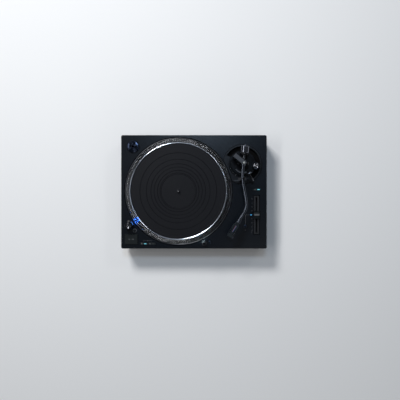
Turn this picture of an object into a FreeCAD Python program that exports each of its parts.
import FreeCAD, Part
import math
import os
import re
import Sketcher

# A direct drive turntable, in millimetres.
# The origin is the middle of the footprint on the floor: +X right, +Y rear, +Z up.

Vector = FreeCAD.Vector
Rotation = FreeCAD.Rotation
X_AXIS, Y_AXIS, Z_AXIS = Vector(1, 0, 0), Vector(0, 1, 0), Vector(0, 0, 1)

# Driving dimensions: alias, value, what it is
DIMENSIONS = [
    ("plinth_width", 453, "cabinet, left to right"),
    ("plinth_depth", 353, "cabinet, front to rear"),
    ("plinth_corner", 5, "radius of the cabinet's upright corners"),
    ("plinth_edge", 1.2, "chamfer round the top face"),
    ("feet_height", 26, "underside of the base tray"),
    ("tray_top", 44, "joint between base tray and top panel"),
    ("plinth_top", 90, "top face of the cabinet"),
    ("roof", 6, "thickness of the top panel's roof"),
    ("wall", 5, "thickness of the cabinet's walls"),
    ("tray_wall", 9, "thickness of the base tray's walls"),
    ("tray_floor", 6, "thickness of the base tray's floor"),
    ("running", 0.05, "radial clearance of a running fit"),
    ("slip", 0.4, "gap round a button or a loose piece"),
    ("spindle_x", -48, "platter centre"),
    ("spindle_y", 2, "platter centre"),
    ("spindle_radius", 3.58, "record pin"),
    ("shaft_radius", 5, "motor shaft"),
    ("well_radius", 169, "round well that the platter turns in"),
    ("well_floor", 79, "floor of the well"),
    ("platter_radius", 166, "rim of the platter"),
    ("platter_foot", 83, "lowest edge of the rim"),
    ("deck_height", 103, "platter face under the mat"),
    ("lip_outer", 150, "polished lip round the mat"),
    ("lip_inner", 146.5, "inner face of that lip"),
    ("lip_top", 107.6, "top of that lip"),
    ("mat_radius", 146, "rubber mat"),
    ("mat_top", 107, "top face of the mat"),
    ("label_radius", 52, "recess for the record's label"),
    ("adaptor_x", -189, "record adaptor"),
    ("adaptor_y", 141, "record adaptor"),
    ("adaptor_radius", 19.2, "record adaptor"),
    ("adaptor_seat", 86.5, "floor of the adaptor's recess"),
    ("start_x", -194.7, "start and stop button"),
    ("start_y", -147.3, "start and stop button"),
    ("start_width", 40.8, "start and stop button"),
    ("start_depth", 31.9, "start and stop button"),
    ("speed_low_x", -156.8, "left speed button"),
    ("speed_high_x", -131.7, "right speed button"),
    ("speed_y", -161.2, "both speed buttons"),
    ("key_width", 23, "speed and reset buttons"),
    ("key_depth", 6, "speed and reset buttons"),
    ("reset_x", 194.9, "reset button"),
    ("reset_y", 7.2, "reset button"),
    ("range_x", 160.1, "range button"),
    ("range_y", -107.4, "range button"),
    ("round_key_radius", 5.2, "range and lamp release buttons"),
    ("lamp_key_x", 49, "lamp release button"),
    ("lamp_key_y", -157.5, "lamp release button"),
    ("lamp_x", 32, "stylus lamp"),
    ("lamp_y", -160.6, "stylus lamp"),
    ("lamp_radius", 4.6, "stylus lamp"),
    ("lamp_raised", 112, "top of the raised stylus lamp"),
    ("tower_x", -201.2, "strobe tower"),
    ("tower_y", -103.7, "strobe tower"),
    ("tower_radius", 12.4, "strobe tower"),
    ("tower_top", 104, "top of the strobe tower"),
    ("knob_radius", 11, "power knob on the tower"),
    ("tower_turn", 34.6, "heading from the tower to the spindle"),
    ("fader_x", 194.5, "pitch fader"),
    ("fader_y", -71.6, "pitch fader"),
    ("bezel_width", 20, "pitch bezel"),
    ("bezel_length", 122.4, "pitch bezel"),
    ("slot_width", 4.2, "slot in the bezel"),
    ("slot_length", 109, "slot in the bezel"),
    ("pivot_x", 150, "tonearm pivot, 215 mm from the spindle"),
    ("pivot_y", 85.8, "tonearm pivot, 215 mm from the spindle"),
    ("flange_radius", 61.5, "arm base flange"),
    ("flange_top", 92, "top face of that flange"),
    ("finger_radius", 56, "finger recess round the height ring"),
    ("finger_floor", 80, "floor of that recess"),
    ("ring_outer", 41.6, "height ring"),
    ("ring_inner", 36.6, "height ring"),
    ("ring_top", 93.6, "height ring"),
    ("pedestal_radius", 36, "body that carries the arm"),
    ("pedestal_top", 98, "top of that body at the lowest setting"),
    ("sleeve_radius", 20, "post that slides in the base"),
    ("arm_height", 131, "axis of the arm tube"),
    ("arm_turn", -5.2, "heading of the parked arm, from straight ahead"),
    ("tube_radius", 4.6, "arm tube"),
    ("first_run", 45.2, "pivot to the first bend's corner"),
    ("second_run", 89, "first corner to the second"),
    ("third_run", 44, "second corner to the socket"),
    ("first_bend", 15.7, "degrees to the right"),
    ("second_bend", 42, "degrees back to the left"),
    ("first_bend_radius", 115, "centre line"),
    ("second_bend_radius", 50, "centre line"),
    ("gimbal_radius", 17, "gimbal ring, outer"),
    ("gimbal_hole", 12.6, "gimbal ring, inner"),
    ("gimbal_width", 7, "gimbal ring, along the arm"),
    ("pivot_pin", 1.5, "radius of the pivot screws' pins"),
    ("weight_radius", 13.4, "counterweight"),
    ("weight_length", 20.5, "counterweight"),
    ("weight_back", 41.8, "pivot to the middle of the counterweight"),
    ("dial_radius", 12, "stylus force dial"),
    ("stub_radius", 3.2, "threaded stub behind the pivot"),
    ("socket_radius", 5.7, "headshell socket on the tube"),
    ("plug_radius", 4, "headshell plug"),
    ("shell_half", 8.9, "headshell, half its width"),
    ("shell_length", 49.5, "headshell, without its plug"),
    ("screw_pitch", 12.7, "between the two cartridge slots"),
    ("slot_centre", 32, "middle of those slots, from the headshell's rear"),
    ("dial_x", 40.6, "anti-skate dial, from the pivot"),
    ("dial_y", -6.4, "anti-skate dial, from the pivot"),
    ("lever_x", 22, "cue lever's shaft, from the pivot"),
    ("lever_y", -28, "cue lever's shaft, from the pivot"),
    ("lever_z", 104, "cue lever's shaft"),
    ("lever_turn", 21, "heading of the cue lever"),
    ("post_x", 8, "lifter post, from the pivot"),
    ("post_y", -27, "lifter post, from the pivot"),
    ("post_radius", 2.5, "lifter post"),
    ("bar_top", 126.1, "lifter bar raised under the tube"),
    ("arch_reach", 33, "pivot to the pillar of the bearing arch"),
    ("arch_turn", 140, "heading of that pillar"),
    ("rest_x", -3.6, "arm rest, from the pivot"),
    ("rest_y", -47, "arm rest, from the pivot"),
    ("clamp_reach", 8.6, "clamp's pin, left of the arm rest"),
    ("clamp_z", 122.4, "clamp's pin"),
    ("bearing_radius", 12, "motor bearing's tube"),
    ("board_top", 72, "circuit boards under the keys"),
    ("key_travel", 1.2, "how far a key can be pressed"),
    ("terminal_x", 60, "terminals in the rear wall"),
    ("terminal_z", 59, "terminals and mains inlet"),
    ("jack_radius", 4.15, "phono jacks"),
    ("inlet_x", -60, "mains inlet"),
    ("socket_x", 165, "hinge sockets, from the middle"),
    ("foot_radius", 27, "feet"),
    ("foot_stud", 4, "threaded stud of a foot"),
    ("foot_x", 190, "feet, from the middle"),
    ("foot_y", 140, "feet, from the middle"),
]

doc = FreeCAD.newDocument("Turntable")
sheet = doc.addObject("Spreadsheet::Sheet", "Sizes")
ALIASES = set()
NODES = []


def fill_sheet():
    for row, (alias, value, note) in enumerate(DIMENSIONS, start=1):
        sheet.set(f"A{row}", alias)
        sheet.set(f"B{row}", str(value))
        sheet.set(f"C{row}", note)
        sheet.setAlias(f"B{row}", alias)
        ALIASES.add(alias)
    doc.recompute()


def formula(text):
    """Turn bare dimension names into references to the sheet."""
    return re.sub(r"[a-z_]+", lambda word: ("Sizes." if word[0] in ALIASES else "") + word[0], str(text))


def size(text):
    """The present value of a formula."""
    return float(sheet.evalExpression(formula(text)))


def bind(item, **formulas):
    """Bind properties of an object to formulas of the sheet."""
    for name, text in formulas.items():
        item.setExpression(name, formula(text))
    return item


def place(item, x=0, y=0, z=0, turn=None, axis=Z_AXIS):
    """Put an object at x, y, z, turned about an axis by a formula in degrees."""
    if turn is not None:
        item.Placement = FreeCAD.Placement(Vector(), Rotation(axis, 1))
        item.setExpression("Placement.Rotation.Angle", formula(f"({turn}) * 1 deg"))
    for letter, text in (("x", x), ("y", y), ("z", z)):
        item.setExpression(f"Placement.Base.{letter}", formula(f"({text}) * 1 mm"))
    return item


def box(x, y, z, x_size, y_size, z_size):
    """A block centred on x and y that stands on z."""
    item = bind(doc.addObject("Part::Box", "block"), Length=x_size, Width=y_size, Height=z_size)
    return place(item, f"({x}) - ({x_size}) / 2", f"({y}) - ({y_size}) / 2", z)


def rod(x, y, z, radius, height, along=Z_AXIS):
    """A cylinder that starts at x, y, z and runs along an axis."""
    item = bind(doc.addObject("Part::Cylinder", "rod"), Radius=radius, Height=height)
    item.Placement = FreeCAD.Placement(Vector(), Rotation(Z_AXIS, along))
    for letter, text in (("x", x), ("y", y), ("z", z)):
        item.setExpression(f"Placement.Base.{letter}", formula(f"({text}) * 1 mm"))
    return item


def joined(*items):
    item = doc.addObject("Part::MultiFuse", "joined")
    item.Shapes = list(items)
    item.Refine = True
    return item


def cut(base, *tools):
    item = doc.addObject("Part::Cut", "cut")
    item.Base = base
    item.Tool = tools[0] if len(tools) == 1 else joined(*tools)
    item.Refine = True
    return item


def common(first, second):
    item = doc.addObject("Part::Common", "common")
    item.Base, item.Tool = first, second
    return item


def group(*items):
    """Separate solids that share one node."""
    item = doc.addObject("Part::Compound", "group")
    item.Links = list(items)
    return item


def origin_plane(body, role):
    return next(plane for plane in body.Origin.OriginFeatures if plane.Role == role)


def sketch(body, role, name, lift=0):
    """A sketch on one of the body's own origin planes, lifted off it by a formula."""
    item = body.newObject("Sketcher::SketchObject", name)
    item.AttachmentSupport = [(origin_plane(body, role), "")]
    item.MapMode = "FlatFace"
    item.setExpression("AttachmentOffset.Base.z", formula(f"({lift}) * 1 mm"))
    return item


def draw_outline(item, points):
    """Draw a closed outline whose corners are bound to formulas."""
    corners = [Vector(size(x), size(y), 0) for x, y in points]
    first = item.GeometryCount
    count = len(corners)
    for index, corner in enumerate(corners):
        item.addGeometry(Part.LineSegment(corner, corners[(index + 1) % count]))
    for index in range(count):
        follower = first + (index + 1) % count
        item.addConstraint(Sketcher.Constraint("Coincident", first + index, 2, follower, 1))
    for index, (x, y) in enumerate(points):
        for kind, text, value in (("DistanceX", x, corners[index].x), ("DistanceY", y, corners[index].y)):
            number = item.addConstraint(Sketcher.Constraint(kind, -1, 1, first + index, 1, value))
            item.setExpression(f"Constraints[{number}]", formula(f"({text}) * 1 mm"))


def draw_circle(item, x, y, radius):
    """Draw a circle whose centre and radius are bound to formulas."""
    number = item.addGeometry(Part.Circle(Vector(size(x), size(y), 0), Z_AXIS, size(radius)))
    wanted = (
        (("Radius", number), radius),
        (("DistanceX", -1, 1, number, 3), x),
        (("DistanceY", -1, 1, number, 3), y),
    )
    for parts, text in wanted:
        index = item.addConstraint(Sketcher.Constraint(*parts, size(text)))
        item.setExpression(f"Constraints[{index}]", formula(f"({text}) * 1 mm"))


def turned(name, points):
    """A body turned about its own Z axis from an outline of (radius, height) points."""
    body = doc.addObject("PartDesign::Body", name)
    profile = sketch(body, "XZ_Plane", name + "_profile")
    draw_outline(profile, points)
    feature = body.newObject("PartDesign::Revolution", name + "_turned")
    feature.Profile = profile
    feature.ReferenceAxis = (profile, ["V_Axis"])
    feature.Angle = 360
    return body


def padded(name, points, thickness, lift=0, role="XY_Plane"):
    """A body padded from a flat outline."""
    body = doc.addObject("PartDesign::Body", name)
    profile = sketch(body, role, name + "_profile", lift)
    draw_outline(profile, points)
    feature = body.newObject("PartDesign::Pad", name + "_pad")
    feature.Profile = profile
    return bind_feature(body, feature, thickness)


def bind_feature(body, feature, length):
    bind(feature, Length=length)
    doc.recompute()
    return body


def chamfered(item, width, chosen):
    """Chamfer the edges of an object that a test picks."""
    doc.recompute()
    edges = [i for i, edge in enumerate(item.Shape.Edges, start=1) if chosen(edge)]
    result = doc.addObject("Part::Chamfer", "chamfered")
    result.Base = item
    result.Edges = [(index, size(width), size(width)) for index in edges]
    return result


def rounded(item, radius, chosen):
    """Round the edges of an object that a test picks."""
    doc.recompute()
    edges = [i for i, edge in enumerate(item.Shape.Edges, start=1) if chosen(edge)]
    result = doc.addObject("Part::Fillet", "rounded")
    result.Base = item
    result.Edges = [(index, size(radius), size(radius)) for index in edges]
    return result


def at_height(height):
    """A test for edges that lie flat at a height."""
    level = size(height)
    return lambda edge: abs(edge.BoundBox.ZMin - level) < 1e-4 and abs(edge.BoundBox.ZMax - level) < 1e-4


def upright(edge):
    """A test for straight upright edges."""
    return len(edge.Vertexes) == 2 and edge.BoundBox.ZLength > 1 and \
        edge.BoundBox.XLength < 1e-4 and edge.BoundBox.YLength < 1e-4


def node(label, item):
    """Name an object as a sub-part."""
    item.Label = label
    NODES.append(item)
    return item


# Cabinet

def rounded_block(bottom, top):
    """The cabinet's outline between two heights."""
    block = box(0, 0, bottom, "plinth_width", "plinth_depth", f"({top}) - ({bottom})")
    return rounded(block, "plinth_corner", upright)


def button_hole(x, y, width, depth):
    return box(x, y, "plinth_top - roof - 1", f"{width} + 2 * slip", f"{depth} + 2 * slip", "roof + 2")


def round_hole(x, y, radius):
    return rod(x, y, "plinth_top - roof - 1", radius, "roof + 2")


def make_top_panel():
    """Cast cabinet: a roof on four walls, with the platter's well and a hole for each control."""
    shell = chamfered(rounded_block("tray_top", "plinth_top"), "plinth_edge", at_height("plinth_top"))
    cavity = box(0, 0, "tray_top", "plinth_width - 2 * wall", "plinth_depth - 2 * wall",
                 "plinth_top - roof - tray_top")
    well_casting = rod("spindle_x", "spindle_y", "well_floor - wall", "well_radius + wall", "wall + 20")
    arm_tunnel = joined(
        cut(rod("pivot_x", "pivot_y", "well_floor - wall - 1", "finger_radius + 1.6", 30),
            rod("spindle_x", "spindle_y", "well_floor - wall - 1", "well_radius + wall", 30)),
        rod("pivot_x", "pivot_y", "well_floor - wall - 1", "ring_outer + 2.4", 30))
    openings = [
        rod("spindle_x", "spindle_y", "well_floor", "well_radius", 20),
        rod("spindle_x", "spindle_y", "well_floor - wall - 1", 60, "wall + 2"),
        arm_tunnel,
        rod("adaptor_x", "adaptor_y", "adaptor_seat", "adaptor_radius + slip", 10),
        rod("adaptor_x", "adaptor_y", "plinth_top - roof - 1", 6, 10),
        button_hole("start_x", "start_y", "start_width", "start_depth"),
        button_hole("speed_low_x", "speed_y", "key_width", "key_depth"),
        button_hole("speed_high_x", "speed_y", "key_width", "key_depth"),
        button_hole("reset_x", "reset_y", "key_width", "key_depth"),
        round_hole("range_x", "range_y", "round_key_radius + slip"),
        round_hole("lamp_key_x", "lamp_key_y", "round_key_radius + slip"),
        round_hole("lamp_x", "lamp_y", "lamp_radius + 1.4"),
        round_hole("tower_x", "tower_y", "tower_radius - 2"),
        box("fader_x", "fader_y", "plinth_top - roof - 1", "bezel_width", "bezel_length", "roof + 2"),
        box("terminal_x", "plinth_depth / 2 - wall", "terminal_z - 13", 112, "3 * wall", 26),
        box("inlet_x", "plinth_depth / 2 - wall", "terminal_z - 13", 34, "3 * wall", 26),
    ]
    openings += [box(f"{side} * socket_x", "plinth_depth / 2", "plinth_top - 34", 34, 24, 26) for side in (-1, 1)]
    socket_casting = [box(f"{side} * socket_x", "plinth_depth / 2 - 9", "plinth_top - 38", 42, 18, 34)
                      for side in (-1, 1)]
    casting = joined(well_casting, *socket_casting)
    return node("top_panel", cut(shell, cut(cavity, casting), *openings))


def screw_places():
    """Middle of each base screw."""
    return [(f"{x} * (plinth_width / 2 - 28)", f"{y} * (plinth_depth / 2 - wall - 6)")
            for x in (-1, 0, 1) for y in (-1, 1)]


def make_base_tray():
    """Heavy moulded tray: a floor and thick walls, with bosses for the feet and the screws."""
    block = chamfered(rounded_block("feet_height", "tray_top"), 2, at_height("feet_height"))
    hollow = box(0, 0, "feet_height + tray_floor", "plinth_width - 2 * tray_wall",
                 "plinth_depth - 2 * tray_wall", 40)
    feet = [(f"{x} * foot_x", f"{y} * foot_y") for x in (-1, 1) for y in (-1, 1)]
    bosses = [box(x, y, "feet_height", 24, 24, "tray_top - feet_height - 2") for x, y in feet]
    bosses += [box(x, y, "feet_height", 14, 14, "tray_top - feet_height") for x, y in screw_places()]
    holes = [rod(x, y, "feet_height - 1", "foot_stud + running", 15) for x, y in feet]
    holes += [rod(x, y, "feet_height - 1", 2.2, 30) for x, y in screw_places()]
    holes += [rod(x, y, "feet_height - 1", 4.4, 5) for x, y in screw_places()]
    return node("base_tray", cut(block, cut(hollow, joined(*bosses)), *holes))


def make_base_screws():
    """Six screws, sunk in the underside, that hold tray and cabinet together."""
    screws = [joined(rod(x, y, "feet_height + 1.5", 4, 2.5),
                     rod(x, y, "feet_height + 3", 2, "tray_top - feet_height + 6"))
              for x, y in screw_places()]
    return node("base_screws", group(*screws))


def make_feet():
    """Rubber pad and cup with a stud that screws into the tray."""
    corners = {"front_left": (-1, -1), "front_right": (1, -1), "rear_left": (-1, 1), "rear_right": (1, 1)}
    for corner, (x, y) in corners.items():
        cup = turned("cup_" + corner, [
            (0, 6), ("foot_radius - 3", 6), ("foot_radius", 10), ("foot_radius", "feet_height"),
            ("foot_stud", "feet_height"), ("foot_stud", "feet_height + 12"), (0, "feet_height + 12")])
        pad = rod(0, 0, 0, "foot_radius - 5", 6)
        foot = group(cup, pad)
        node("foot_" + corner, place(foot, f"{x} * foot_x", f"{y} * foot_y"))


# Motor and platter

def make_motor():
    """Stator plate in the well with its coils, the bearing, and the rotor under the platter."""
    base = turned("motor_plate", [
        ("bearing_radius", 60), (58, 60), (58, "well_floor"), (70, "well_floor"), (70, "well_floor + 2"),
        ("bearing_radius", "well_floor + 2")])
    node("motor_base", place(base, "spindle_x", "spindle_y"))
    coils = []
    for step in range(9):
        coil = cut(box(45, 0, 0, 24, 22, 2), box(45, 0, 0, 12, 8, 2))
        coils.append(place(coil, "spindle_x", "spindle_y", "well_floor + 2", f"{step} * 40"))
    node("drive_coils", group(*coils))
    housing = turned("bearing_tube", [
        (0, 52), ("bearing_radius", 52), ("bearing_radius", 92), ("shaft_radius + running", 92),
        ("shaft_radius + running", 54), (0, 54)])
    node("bearing_housing", place(housing, "spindle_x", "spindle_y"))
    magnet = turned("magnet_ring", [(32, 84.5), (62, 84.5), (62, 91), (32, 91)])
    node("rotor_magnet", place(magnet, "spindle_x", "spindle_y"))
    yoke = turned("yoke_plate", [(16, 91), (66, 91), (66, 94), (16, 94)])
    node("rotor_yoke", place(yoke, "spindle_x", "spindle_y"))
    shaft = turned("spindle_shaft", [
        (0, 54.2), ("shaft_radius", 54.2), ("shaft_radius", "deck_height"), ("spindle_radius - 0.3", "deck_height"),
        ("spindle_radius - 0.3", "mat_top - 0.8"), ("spindle_radius", "mat_top - 0.8"),
        ("spindle_radius", "mat_top + 8"), ("spindle_radius - 2", "mat_top + 11"), (0, "mat_top + 12")])
    node("spindle", place(shaft, "spindle_x", "spindle_y"))


def make_platter():
    """Cast platter: polished lip round the mat, sloping strobe rim, and a thick hub over the rotor."""
    platter = turned("platter_casting", [
        ("shaft_radius", 94), (70, 94), (70, 98), (143, 98), (156, "platter_foot"),
        ("platter_radius", "platter_foot"), ("platter_radius", "platter_foot + 7"),
        ("platter_radius - 1.5", "platter_foot + 8"), ("lip_outer + 1", "lip_top - 2"),
        ("lip_outer", "lip_top - 0.8"), ("lip_outer - 1", "lip_top"), ("lip_inner + 0.4", "lip_top"),
        ("lip_inner", "deck_height"), ("shaft_radius", "deck_height")])
    node("platter", place(platter, "spindle_x", "spindle_y"))
    damper = turned("damper_ring", [(104, 95), (138, 95), (138, 98), (104, 98)])
    node("platter_damper", place(damper, "spindle_x", "spindle_y"))


def make_mat():
    """Rubber mat with ring grooves and a recess for the label."""
    outline = [
        ("spindle_radius + 0.2", "deck_height"), ("mat_radius", "deck_height"), ("mat_radius", "mat_top - 0.5"),
        ("mat_radius - 0.5", "mat_top")]
    for radius in (118, 98, 84, 74, 63.8, 56):
        outline += [(radius + 0.8, "mat_top"), (radius, "mat_top - 0.8"), (radius - 0.8, "mat_top")]
    outline += [
        ("label_radius + 1", "mat_top"), ("label_radius", "mat_top - 1"), ("spindle_radius + 0.2", "mat_top - 1")]
    node("mat", place(turned("mat_disc", outline), "spindle_x", "spindle_y"))


def make_adaptor():
    """Turned disc with a dished top that fits large record holes."""
    adaptor = turned("adaptor_disc", [
        ("spindle_radius + 0.1", "adaptor_seat"), ("adaptor_radius", "adaptor_seat"),
        ("adaptor_radius", "adaptor_seat + 7"), ("adaptor_radius - 3", "adaptor_seat + 9.5"),
        (12, "adaptor_seat + 8.4"), ("spindle_radius + 0.1", "adaptor_seat + 8.4")])
    node("record_adaptor", place(adaptor, "adaptor_x", "adaptor_y"))


# Controls

def key(label, x, y, width, depth, top, edge):
    """Rectangular button with chamfered top edges and a collar under the roof that stops it."""
    cap = chamfered(box(0, 0, "plinth_top - roof", width, depth, f"{top} - plinth_top + roof"), edge, at_height(top))
    collar = box(0, 0, "plinth_top - roof - 2.5", f"{width} + 2", f"{depth} + 2", 2.5)
    stem = box(0, 0, "board_top + key_travel + 0.2", 4, 4, "plinth_top - roof - board_top - key_travel - 0.2")
    return node(label, place(joined(cap, collar, stem), x, y))


def make_keys():
    key("start_stop_button", "start_x", "start_y", "start_width", "start_depth", "plinth_top + 3", 1)
    key("speed_button_low", "speed_low_x", "speed_y", "key_width", "key_depth", "plinth_top + 2.2", 0.5)
    key("speed_button_high", "speed_high_x", "speed_y", "key_width", "key_depth", "plinth_top + 2.2", 0.5)
    key("reset_button", "reset_x", "reset_y", "key_width", "key_depth", "plinth_top + 2.2", 0.5)
    for label, x, y in (("range_button", "range_x", "range_y"), ("lamp_button", "lamp_key_x", "lamp_key_y")):
        button = turned(label + "_turned", [
            (0, "board_top + key_travel + 0.2"), ("round_key_radius + 1.5", "board_top + key_travel + 0.2"),
            ("round_key_radius + 1.5", "plinth_top - roof"), ("round_key_radius", "plinth_top - roof"),
            ("round_key_radius", "plinth_top + 1.2"), ("round_key_radius - 0.8", "plinth_top + 2"),
            (0, "plinth_top + 1.6")])
        node(label, place(button, x, y))


def make_boards():
    """Circuit boards under the keys, and the power supply."""
    front_left = box("start_x + 42", "start_y - 2", "board_top - 1.6", 124, 40, 1.6)
    front_middle = box("lamp_key_x + 10", "lamp_key_y", "board_top - 1.6", 30, 26, 1.6)
    right_front = box("range_x", "range_y", "board_top - 1.6", 30, 30, 1.6)
    right = box("reset_x", "reset_y", "board_top - 1.6", 34, 20, 1.6)
    pillars = [rod(x, y, "feet_height + tray_floor", 3, "board_top - 1.6 - feet_height - tray_floor") for x, y in (
        ("start_x + 42", "start_y - 2"), ("lamp_key_x + 10", "lamp_key_y"), ("range_x", "range_y"),
        ("reset_x", "reset_y"))]
    boards = [joined(board, pillar) for board, pillar in zip((front_left, front_middle, right_front, right), pillars)]
    node("control_board", group(*boards))
    supply = box(-110, 125, "feet_height + tray_floor", 80, 60, 36)
    node("power_supply", chamfered(supply, 2, upright))


def make_tower():
    """Strobe tower with a lit window towards the platter, and the power knob on top."""
    shell = turned("tower_shell", [
        (0, "plinth_top - roof"), ("tower_radius - 2.1", "plinth_top - roof"), ("tower_radius - 2.1", "plinth_top"),
        ("tower_radius + 1.6", "plinth_top"), ("tower_radius + 1.6", "plinth_top + 1.2"),
        ("tower_radius", "plinth_top + 2"), ("tower_radius", "tower_top"), (5, "tower_top"),
        (5, "tower_top - 5"), (0, "tower_top - 5")])
    window_gap = box("tower_radius - 2", 0, "plinth_top + 3", 8, 12, 8)
    housing = cut(shell, window_gap)
    node("strobe_housing", place(housing, "tower_x", "tower_y", 0, "tower_turn"))
    window = common(box("tower_radius - 3", 0, "plinth_top + 3", 6, 12, 8),
                    rod(0, 0, "plinth_top", "tower_radius - 0.6", 20))
    node("strobe_window", place(window, "tower_x", "tower_y", 0, "tower_turn"))
    knob = turned("knob_turned", [
        (0, "tower_top - 4.6"), ("5 - running", "tower_top - 4.6"), ("5 - running", "tower_top + 0.4"),
        ("knob_radius", "tower_top + 0.4"), ("knob_radius", "tower_top + 12.5"),
        ("knob_radius - 1", "tower_top + 13.5"), ("knob_radius - 2", "tower_top + 13.5"),
        (0, "tower_top + 12.7")])
    pointer = box("knob_radius - 1", 0, "tower_top + 9", 3, 1.2, 6)
    node("power_knob", place(cut(knob, pointer), "tower_x", "tower_y", 0, 115))


def make_stylus_lamp():
    """Lamp that pops up beside the platter, in its guide."""
    guide = turned("guide_turned", [
        ("lamp_radius + running", 66), ("lamp_radius + 1.3", 66), ("lamp_radius + 1.3", "plinth_top"),
        ("lamp_radius + 3", "plinth_top"), ("lamp_radius + 3", "plinth_top + 0.7"),
        ("lamp_radius + 2.5", "plinth_top + 1.2"), ("lamp_radius + running", "plinth_top + 1.2")])
    node("lamp_guide", place(guide, "lamp_x", "lamp_y"))
    post = turned("lamp_post", [
        (0, 70), ("lamp_radius", 70), ("lamp_radius", "lamp_raised - 1"), ("lamp_radius - 1", "lamp_raised"),
        (0, "lamp_raised")])
    window_gap = box("lamp_radius", 0, "lamp_raised - 9", 5, 5, 5.5)
    node("stylus_lamp", place(cut(post, window_gap), "lamp_x", "lamp_y", 0, 116))
    lens = common(box("lamp_radius - 1.1", 0, "lamp_raised - 9", 2.8, 5, 5.5), rod(0, 0, 70, "lamp_radius - 0.2", 60))
    node("lamp_lens", place(lens, "lamp_x", "lamp_y", 0, 116))


def make_fader():
    """Recessed bezel with a slot, the fader under it, and the knob that slides along it."""
    frame = box("fader_x", "fader_y", "plinth_top - roof", "bezel_width - 0.2", "bezel_length - 0.2", "roof + 0.4")
    dish = box("fader_x", "fader_y", "plinth_top - 2", "bezel_width - 2", "bezel_length - 2", 5)
    slot = box("fader_x", "fader_y", "plinth_top - roof - 1", "slot_width", "slot_length", 10)
    node("pitch_bezel", cut(frame, joined(dish, slot)))
    body = box("fader_x", "fader_y", 62, 14, "slot_length + 10", "plinth_top - roof - 62")
    track = box("fader_x", "fader_y", 66, 4, "slot_length", 30)
    node("pitch_fader", cut(body, track))
    side = [(-11.6, 0), (11.6, 0), (11.6, 6.4), (10.4, 7.4), (7.4, 3.8), (1.6, 5.6), (-1.6, 5.6), (-7.4, 3.8),
            (-10.4, 7.4), (-11.6, 6.4)]
    cap = padded("knob_cap", side, 17.6, "-8.8", "YZ_Plane")
    stem = box(0, 0, -22, 3, 6, 22.5)
    node("pitch_knob", place(joined(cap, stem), "fader_x", "fader_y", "plinth_top + 0.7"))


def make_rear():
    """Terminals and mains inlet in recesses of the rear wall, and the sockets for a cover's hinges."""
    rear = "plinth_depth / 2"
    plate = box("terminal_x", f"{rear} - 17", "terminal_z - 14", 114, 2, 28)
    roof_wall = box("terminal_x", f"{rear} - 11", "terminal_z + 13", 114, 10, 1)
    floor_wall = box("terminal_x", f"{rear} - 11", "terminal_z - 14", 114, 10, 1)
    node("terminal_block", joined(plate, roof_wall, floor_wall))
    jacks = []
    for x in (-20, 4):
        place_x = f"terminal_x + {x}"
        shell = cut(rod(place_x, f"{rear} - 16", "terminal_z", "jack_radius", 9.5, Y_AXIS),
                    rod(place_x, f"{rear} - 14", "terminal_z", 1.6, 9, Y_AXIS))
        collar = rod(place_x, f"{rear} - 16", "terminal_z", 5.6, 1.6, Y_AXIS)
        jacks.append(joined(shell, collar))
    node("phono_jacks", group(*jacks))
    post = rod("terminal_x + 32", f"{rear} - 16", "terminal_z", 2, 10, Y_AXIS)
    nut = rod("terminal_x + 32", f"{rear} - 13", "terminal_z", 5, 5, Y_AXIS)
    node("ground_terminal", joined(post, nut))
    inlet = box("inlet_x", f"{rear} - 10", "terminal_z - 12.6", 33, 20, 25.2)
    mouth = box("inlet_x", f"{rear} - 7", "terminal_z - 4.5", 19, 15, 9)
    node("mains_inlet", cut(inlet, mouth))
    sockets = []
    for side in (-1, 1):
        block = box(f"{side} * socket_x", f"{rear} - 6.1", "plinth_top - 33.8", 33.6, 11.6, 25.6)
        pocket = box(f"{side} * socket_x", f"{rear} - 2", "plinth_top - 24", 25, 14, 6)
        sockets.append(cut(block, pocket))
    node("hinge_sockets", group(*sockets))


# Tonearm base

def sector(inner, outer, bottom, height, start, sweep):
    """Part of a ring about the pivot, from a heading and over a sweep in degrees."""
    disc = bind(doc.addObject("Part::Cylinder", "sector"), Radius=outer, Height=height)
    disc.setExpression("Angle", formula(f"({sweep}) * 1 deg"))
    place(disc, 0, 0, bottom, start)
    return cut(disc, rod(0, 0, f"({bottom}) - 1", inner, f"({height}) + 2"))


def at_pivot(label, item, z=0, turn=None):
    """Put a piece made about its own origin at the tonearm's pivot."""
    return node(label, place(item, "pivot_x", "pivot_y", z, turn))


def make_arm_base():
    """Housing let into the cabinet: flange, round well for the height ring, and a finger recess round it."""
    rim = "ring_outer + 0.6"
    housing = turned("base_turned", [
        ("sleeve_radius + running", 60), ("ring_outer + 2.2", 60), ("ring_outer + 2.2", "plinth_top"),
        ("flange_radius", "plinth_top"), ("flange_radius", "flange_top - 0.6"), ("flange_radius - 0.6", "flange_top"),
        (rim, "flange_top"), (rim, 66), ("sleeve_radius + running", 66)])
    tray = sector("ring_outer + 1", "finger_radius + 1.3", "finger_floor - 1.6", "flange_top - finger_floor",
                  -54, 206)
    recess = sector(rim, "finger_radius", "finger_floor", 20, -52, 202)
    platter_side = rod("spindle_x - pivot_x", "spindle_y - pivot_y", "well_floor + 1", "well_radius + 0.4", 20)
    lever_bore = rod(16, -51, "flange_top - 8", "2 + running", 10)
    at_pivot("arm_base", cut(joined(housing, tray), recess, platter_side, lever_bore))


def make_height_ring():
    """Ring with a knurled rim that screws the pedestal up and down."""
    ring = turned("ring_turned", [
        ("ring_inner", 66.4), ("ring_outer", 66.4), ("ring_outer", "ring_top - 1"), ("ring_outer - 1", "ring_top"),
        ("ring_inner", "ring_top")])
    at_pivot("height_ring", ring)


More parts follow.
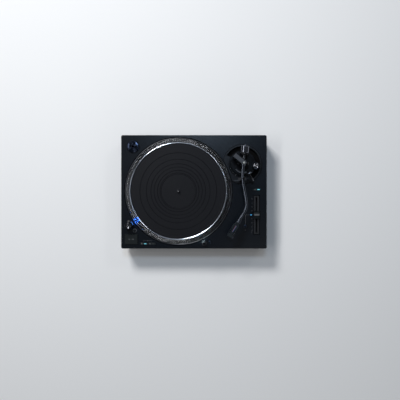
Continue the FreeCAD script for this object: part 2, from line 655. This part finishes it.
def make_pedestal():
    """Cap that carries the arm: skirt, sliding sleeve, bearing boss, dial lobe and lever ears."""
    cap = turned("cap_turned", [
        (0, 62), ("sleeve_radius", 62), ("sleeve_radius", "pedestal_top - 6"),
        ("pedestal_radius - 3", "pedestal_top - 6"),
        ("pedestal_radius - 3", 74), ("pedestal_radius", 74), ("pedestal_radius", "pedestal_top - 1.5"),
        ("pedestal_radius - 1.5", "pedestal_top"), (7, "pedestal_top"), (6, "arm_height - gimbal_radius - 0.5"),
        (0, "arm_height - gimbal_radius - 0.5")])
    lobe = rod("dial_x", "dial_y", "ring_top + 0.6", 11.5, 10)
    bridge = box("dial_x / 2 + 9", "dial_y", "ring_top + 0.6", "dial_x - 18", 16, "pedestal_top - ring_top - 0.6")
    bracket = box("rest_x - 1", "(rest_y - pedestal_radius) / 2 + 4", "ring_top + 0.6", 14, 26,
                  "pedestal_top - ring_top - 0.6")
    ears = [box(x, 0, -6, 2, 9, 10) for x in (-5.2, 5.2)]
    shaft_bore = rod(-10, 0, 0, "pivot_pin + running", 20, X_AXIS)
    yoke = place(cut(joined(*ears), shaft_bore), "lever_x", "lever_y", "lever_z", "lever_turn")
    floor = place(box(0, 0, 0, 12.4, 9, 4), "lever_x", "lever_y", "pedestal_top - 3.8", "lever_turn")
    post_bore = rod("post_x", "post_y", 70, "post_radius + running", 40)
    dial_bore = rod("dial_x", "dial_y", 96, "2 + running", 10)
    pin_bore = rod(0, 0, "arm_height - gimbal_radius - 8", "pivot_pin", 9)
    solid = joined(cap, lobe, bridge, bracket, floor, yoke)
    at_pivot("arm_pedestal", cut(solid, post_bore, dial_bore, pin_bore))


def make_arch():
    """Gooseneck on one pillar that holds the upper pivot screw."""
    top = "arm_height + gimbal_radius + 1.4"
    side = [(-6.5, top), ("arch_reach - 9", top), ("arch_reach - 4", f"{top} - 5"), ("arch_reach - 4", "pedestal_top"),
            ("arch_reach + 4", "pedestal_top"), ("arch_reach + 4", f"{top} + 3"), ("arch_reach + 0.5", f"{top} + 6.5"),
            (-6.5, f"{top} + 6.5")]
    arch = padded("arch_side", side, 12, -6, "XZ_Plane")
    bore = rod(0, 0, "arm_height", "pivot_pin", 40)
    at_pivot("bearing_arch", cut(arch, bore), 0, "arch_turn")
    upper = joined(rod(0, 0, "arm_height + 13.4", "pivot_pin", 14), rod(0, 0, f"{top} + 6.5", 3.4, 1.8))
    slit = box(0, 0, f"{top} + 7.5", 8, 0.8, 3)
    lower = rod(0, 0, "arm_height - gimbal_radius - 8", "pivot_pin", 11.6)
    at_pivot("bearing_screws", group(cut(upper, slit), lower), 0, 25)


def make_rest():
    """Cradle for the parked arm on the pedestal's bracket, with a clamp that swings over the tube."""
    foot = box("rest_x - 1", "rest_y", "pedestal_top", 10, 7, "arm_height - 8 - pedestal_top")
    cradle = [(-10.8, -9.6), (6, -9.6), (10.4, -4.8), (10.4, 4.8), (8, 4.8), (7.2, 0.6), (5.8, -2.9), (2.2, -5),
              (-2.2, -5), (-6.4, -5.5), (-6.4, -7.5), (-10.8, -7.5)]
    saddle = place(padded("saddle_side", cradle, 7, "-3.5", "XZ_Plane"), "rest_x", "rest_y", "arm_height")
    pin_bore = rod("rest_x - clamp_reach", "rest_y - 5", "clamp_z", "1 + running", 10, Y_AXIS)
    at_pivot("arm_rest", cut(joined(foot, saddle), pin_bore))
    hook = padded("hook_side", [(-1.8, -1.8), (1.8, -1.8), (1.8, 1.2), (-13, 1.2), (-16.4, 3.4), (-17.8, 2.2),
                                (-14.2, -1.2)], 2.2, "3.9", "XZ_Plane")
    clamp = joined(hook, rod(0, -6.1, 0, 1, 9.5, Y_AXIS))
    node("rest_clamp", place(clamp, "pivot_x + rest_x - clamp_reach", "pivot_y + rest_y", "clamp_z"))


def make_lock_lever():
    """Lever on the flange that locks the height ring."""
    lever = joined(rod(0, 0, "flange_top + 0.3", 5, 4), rod(0, 0, "flange_top - 7", 2, 8),
                   box(10, 0, "flange_top + 1", 18, 5, 3.3))
    node("lock_lever", place(lever, "pivot_x + 16", "pivot_y - 51", 0, -14))


def make_antiskate_dial():
    """Dial with a turned top on the pedestal's lobe."""
    dial = turned("antiskate_turned", [
        (0, 97), (2, 97), (2, "ring_top + 11"), (10.5, "ring_top + 11"), (10.5, "ring_top + 17"),
        (9.6, "ring_top + 18"), (8, "ring_top + 18"), (2.5, "ring_top + 17.3"), (0, "ring_top + 17.3")])
    node("antiskate_dial", place(dial, "pivot_x + dial_x", "pivot_y + dial_y"))


def make_cueing():
    """Cue lever on its shaft, and the curved bar that it raises under the tube."""
    shaft = rod(-7.4, 0, 0, "pivot_pin", 14.8, X_AXIS)
    hub = rod(-3.9, 0, 0, 3.4, 7.8, X_AXIS)
    stalk = place(rod(0, 0, 0, 1.3, 25), 0, 0, 0, 55, X_AXIS)
    grip = place(turned("grip_turned", [(0, 20), (1.9, 20), (2.4, 31), (1.6, 32), (0, 32)]), 0, 0, 0, 55, X_AXIS)
    node("cue_lever", place(joined(shaft, hub, stalk, grip), "pivot_x + lever_x", "pivot_y + lever_y", "lever_z",
                            "lever_turn"))
    post = rod("post_x", "post_y", 85, "post_radius", "bar_top - 86")
    bar = sector(26.6, 29.8, "bar_top - 2.6", 2.6, -142, 72)
    at_pivot("lifter_bar", joined(post, bar))


# Tonearm

def make_gimbal():
    """Upright ring that turns on the pivot screws and carries the arm's cross axle."""
    ring = cut(rod(0, "-gimbal_width / 2", 0, "gimbal_radius", "gimbal_width", Y_AXIS),
               rod(0, "-gimbal_width", 0, "gimbal_hole", "2 * gimbal_width", Y_AXIS),
               rod(0, 0, "-gimbal_radius - 1", "pivot_pin + running", "2 * gimbal_radius + 2"),
               rod("-gimbal_radius - 1", 0, 0, "pivot_pin + running", "2 * gimbal_radius + 2", X_AXIS))
    at_pivot("gimbal_ring", ring, "arm_height", "arm_turn")


def tube_path(body):
    """Centre line of the tube: three straight runs joined by two tangent arcs."""
    path = sketch(body, "XY_Plane", "tube_path")
    half_one, half_two = "tan(first_bend / 2 * 1 deg)", "tan(second_bend / 2 * 1 deg)"
    runs = (f"first_run - first_bend_radius * {half_one}",
            f"second_run - first_bend_radius * {half_one} - second_bend_radius * {half_two}",
            f"third_run - second_bend_radius * {half_two}")
    bends = ((1, "first_bend", "first_bend_radius"), (-1, "second_bend", "second_bend_radius"))
    point, heading = Vector(), -math.pi / 2
    for index, run in enumerate(runs):
        end = point + Vector(math.cos(heading), math.sin(heading), 0) * size(run)
        path.addGeometry(Part.LineSegment(point, end))
        point = end
        if index < len(bends):
            side, bend, radius = bends[index]
            normal = Vector(-math.sin(heading), math.cos(heading), 0) * side
            centre = point + normal * size(radius)
            angle = math.radians(size(bend))
            start = math.atan2(-normal.y, -normal.x)
            stop = start + side * angle
            arc = Part.ArcOfCircle(Part.Circle(centre, Z_AXIS, size(radius)), min(start, stop), max(start, stop))
            path.addGeometry(arc)
            heading += side * angle
            point = centre + Vector(math.cos(stop), math.sin(stop), 0) * size(radius)
    joints = (((0, 2), (1, 1)), ((1, 2), (2, 1)), ((2, 2), (3, 2)), ((3, 1), (4, 1)))
    for (first, first_end), (second, second_end) in joints:
        path.addConstraint(Sketcher.Constraint("Tangent", first, first_end, second, second_end))
    path.addConstraint(Sketcher.Constraint("Coincident", 0, 1, -1, 1))
    path.addConstraint(Sketcher.Constraint("Vertical", 0))
    for line, run in zip((0, 2, 4), runs):
        number = path.addConstraint(Sketcher.Constraint("Distance", line, size(run)))
        path.setExpression(f"Constraints[{number}]", formula(f"({run}) * 1 mm"))
    for arc, (side, bend, radius) in zip((1, 3), bends):
        number = path.addConstraint(Sketcher.Constraint("Radius", arc, size(radius)))
        path.setExpression(f"Constraints[{number}]", formula(f"{radius} * 1 mm"))
        number = path.addConstraint(Sketcher.Constraint("Angle", arc, math.radians(size(bend))))
        path.setExpression(f"Constraints[{number}]", formula(f"{bend} * 1 deg"))
    return path


def end_frame(distance):
    """Where a point of the headshell's axis lies, beyond the socket's start."""
    one, two, three = ("(arm_turn * 1 deg)", "((arm_turn + first_bend) * 1 deg)",
                       "((arm_turn + first_bend - second_bend) * 1 deg)")
    reach = f"(third_run + {distance})"
    x = f"pivot_x + first_run * sin{one} + second_run * sin{two} + {reach} * sin{three}"
    y = f"pivot_y - first_run * cos{one} - second_run * cos{two} - {reach} * cos{three}"
    return x, y


def make_tube():
    """S-shaped tube with its hub, cross axle and the socket for the headshell."""
    body = doc.addObject("PartDesign::Body", "tube_body")
    path = tube_path(body)
    section = sketch(body, "XZ_Plane", "tube_section")
    draw_circle(section, 0, 0, "tube_radius")
    sweep = body.newObject("PartDesign::AdditivePipe", "tube_sweep")
    sweep.Profile = section
    sweep.Spine = (path, [f"Edge{number}" for number in range(1, 6)])
    hub = joined(rod(0, -7, 0, 7.6, 15, Y_AXIS),
                 rod("-gimbal_radius + 1", 0, 0, "pivot_pin", "2 * gimbal_radius - 2", X_AXIS))
    bent = place(joined(body, hub), "pivot_x", "pivot_y", "arm_height", "arm_turn")
    socket = cut(rod(0, -12, 0, "socket_radius", 14, Y_AXIS), rod(0, -13, 0, "plug_radius + running", 12, Y_AXIS))
    x, y = end_frame(0)
    place(socket, x, y, "arm_height", "arm_turn + first_bend - second_bend")
    node("arm_tube", joined(bent, socket))


def at_end(label, item, distance):
    x, y = end_frame(distance)
    return node(label, place(item, x, y, "arm_height", "arm_turn + first_bend - second_bend"))


def mirrored(points):
    """The left half of an outline whose right half runs from rear to front."""
    return [(f"-({x})", y) for x, y in reversed(points)]


def make_headshell():
    """Perforated shell with a channel below, the plug at its rear, the collar and the finger lift."""
    collar = cut(rod(0, -12.6, 0, "socket_radius + 1.7", 11, Y_AXIS),
                 rod(0, -13, 0, "socket_radius + running", 12, Y_AXIS))
    at_end("locking_collar", collar, 0)
    right = [(5.8, -0.8), (5.8, -3.5), ("shell_half", -9), ("shell_half", "5.5 - shell_length"),
             ("shell_half - 2.3", "-shell_length")]
    hollow = [(4.6, -8), ("shell_half - 1.2", -11), ("shell_half - 1.2", "6 - shell_length"),
              ("shell_half - 3", "1.4 - shell_length")]
    shell = padded("shell_plan", right + mirrored(right), 5.4, -2.2)
    channel = padded("channel_plan", hollow + mirrored(hollow), 3.2, -2.6)
    slots = [box(f"{side} * screw_pitch / 2", "-slot_centre", -4, 2.6, 16, 10) for side in (-1, 1)]
    window = box(0, -21.2, -4, 3.6, 23.6, 10)
    plug = rod(0, -2, 0, "plug_radius", 12.5, Y_AXIS)
    at_end("headshell", joined(cut(shell, channel, window, *slots), plug), 12)
    tab = padded("tab_side", [(-31, -0.6), (-31, 0.6), (-37, 0.6), (-43, 5.2), (-49, 6.6), (-49, 5.6), (-43.6, 4.2),
                              (-37, -0.6)], 2.6, "shell_half", "YZ_Plane")
    at_end("finger_lift", tab, 12)


def make_counterweight():
    """Threaded stub, the bush that screws along it, the weight and the force dial that turn on the bush."""
    back, half = "weight_back", "weight_length / 2"
    stub = joined(rod(0, 8, 0, "stub_radius", f"{back} + {half} - 2", Y_AXIS), rod(0, 8, 0, 5.4, 2.4, Y_AXIS))
    at_pivot("rear_stub", stub, "arm_height", "arm_turn")
    bush = cut(rod(0, f"{back} - {half} - 6.4", 0, 7, "weight_length + 6", Y_AXIS),
               rod(0, 0, 0, "stub_radius + running", 80, Y_AXIS))
    at_pivot("weight_bush", bush, "arm_height", "arm_turn")
    weight = cut(chamfered_rod("weight_radius", "weight_length", 1), rod(0, -1, 0, "7 + running", 40, Y_AXIS))
    body = node("counterweight", weight)
    place_behind(body, f"{back} - {half}")
    dial = cut(chamfered_rod("dial_radius", 5.8, 0.6), rod(0, -1, 0, "7 + running", 40, Y_AXIS))
    place_behind(node("force_dial", dial), f"{back} - {half} - 6")


def chamfered_rod(radius, length, edge):
    blank = rod(0, 0, 0, radius, length, Y_AXIS)
    return chamfered(blank, edge, lambda rim: rim.Closed)


def place_behind(item, distance):
    """Put a piece on the arm's axis, behind the pivot."""
    x = f"pivot_x - ({distance}) * sin(arm_turn * 1 deg)"
    y = f"pivot_y + ({distance}) * cos(arm_turn * 1 deg)"
    return place(item, x, y, "arm_height", "arm_turn")


def check_model():
    """Stop if an object failed to compute or a sub-part is not a valid solid."""
    doc.recompute()
    failed = [item.Label for item in doc.Objects if {"Invalid", "Error"} & set(item.State)]
    bad = [item.Label for item in NODES if item.Shape.isNull() or not item.Shape.isValid() or not item.Shape.Solids]
    if failed or bad:
        raise RuntimeError(f"objects that failed: {failed}, sub-parts that are not solid: {bad}")


def write_parts():
    os.makedirs("parts", exist_ok=True)
    for item in NODES:
        item.Shape.exportStep(f"parts/{item.Label}.step")
        print(f"{item.Label}: {len(item.Shape.Solids)} solids, {item.Shape.Volume / 1000:.1f} cm3")


fill_sheet()
make_top_panel()
make_base_tray()
make_base_screws()
make_feet()
make_motor()
make_platter()
make_mat()
make_adaptor()
make_keys()
make_boards()
make_tower()
make_stylus_lamp()
make_fader()
make_rear()
make_arm_base()
make_height_ring()
make_pedestal()
make_arch()
make_rest()
make_lock_lever()
make_antiskate_dial()
make_cueing()
make_gimbal()
make_tube()
make_headshell()
make_counterweight()
check_model()
write_parts()
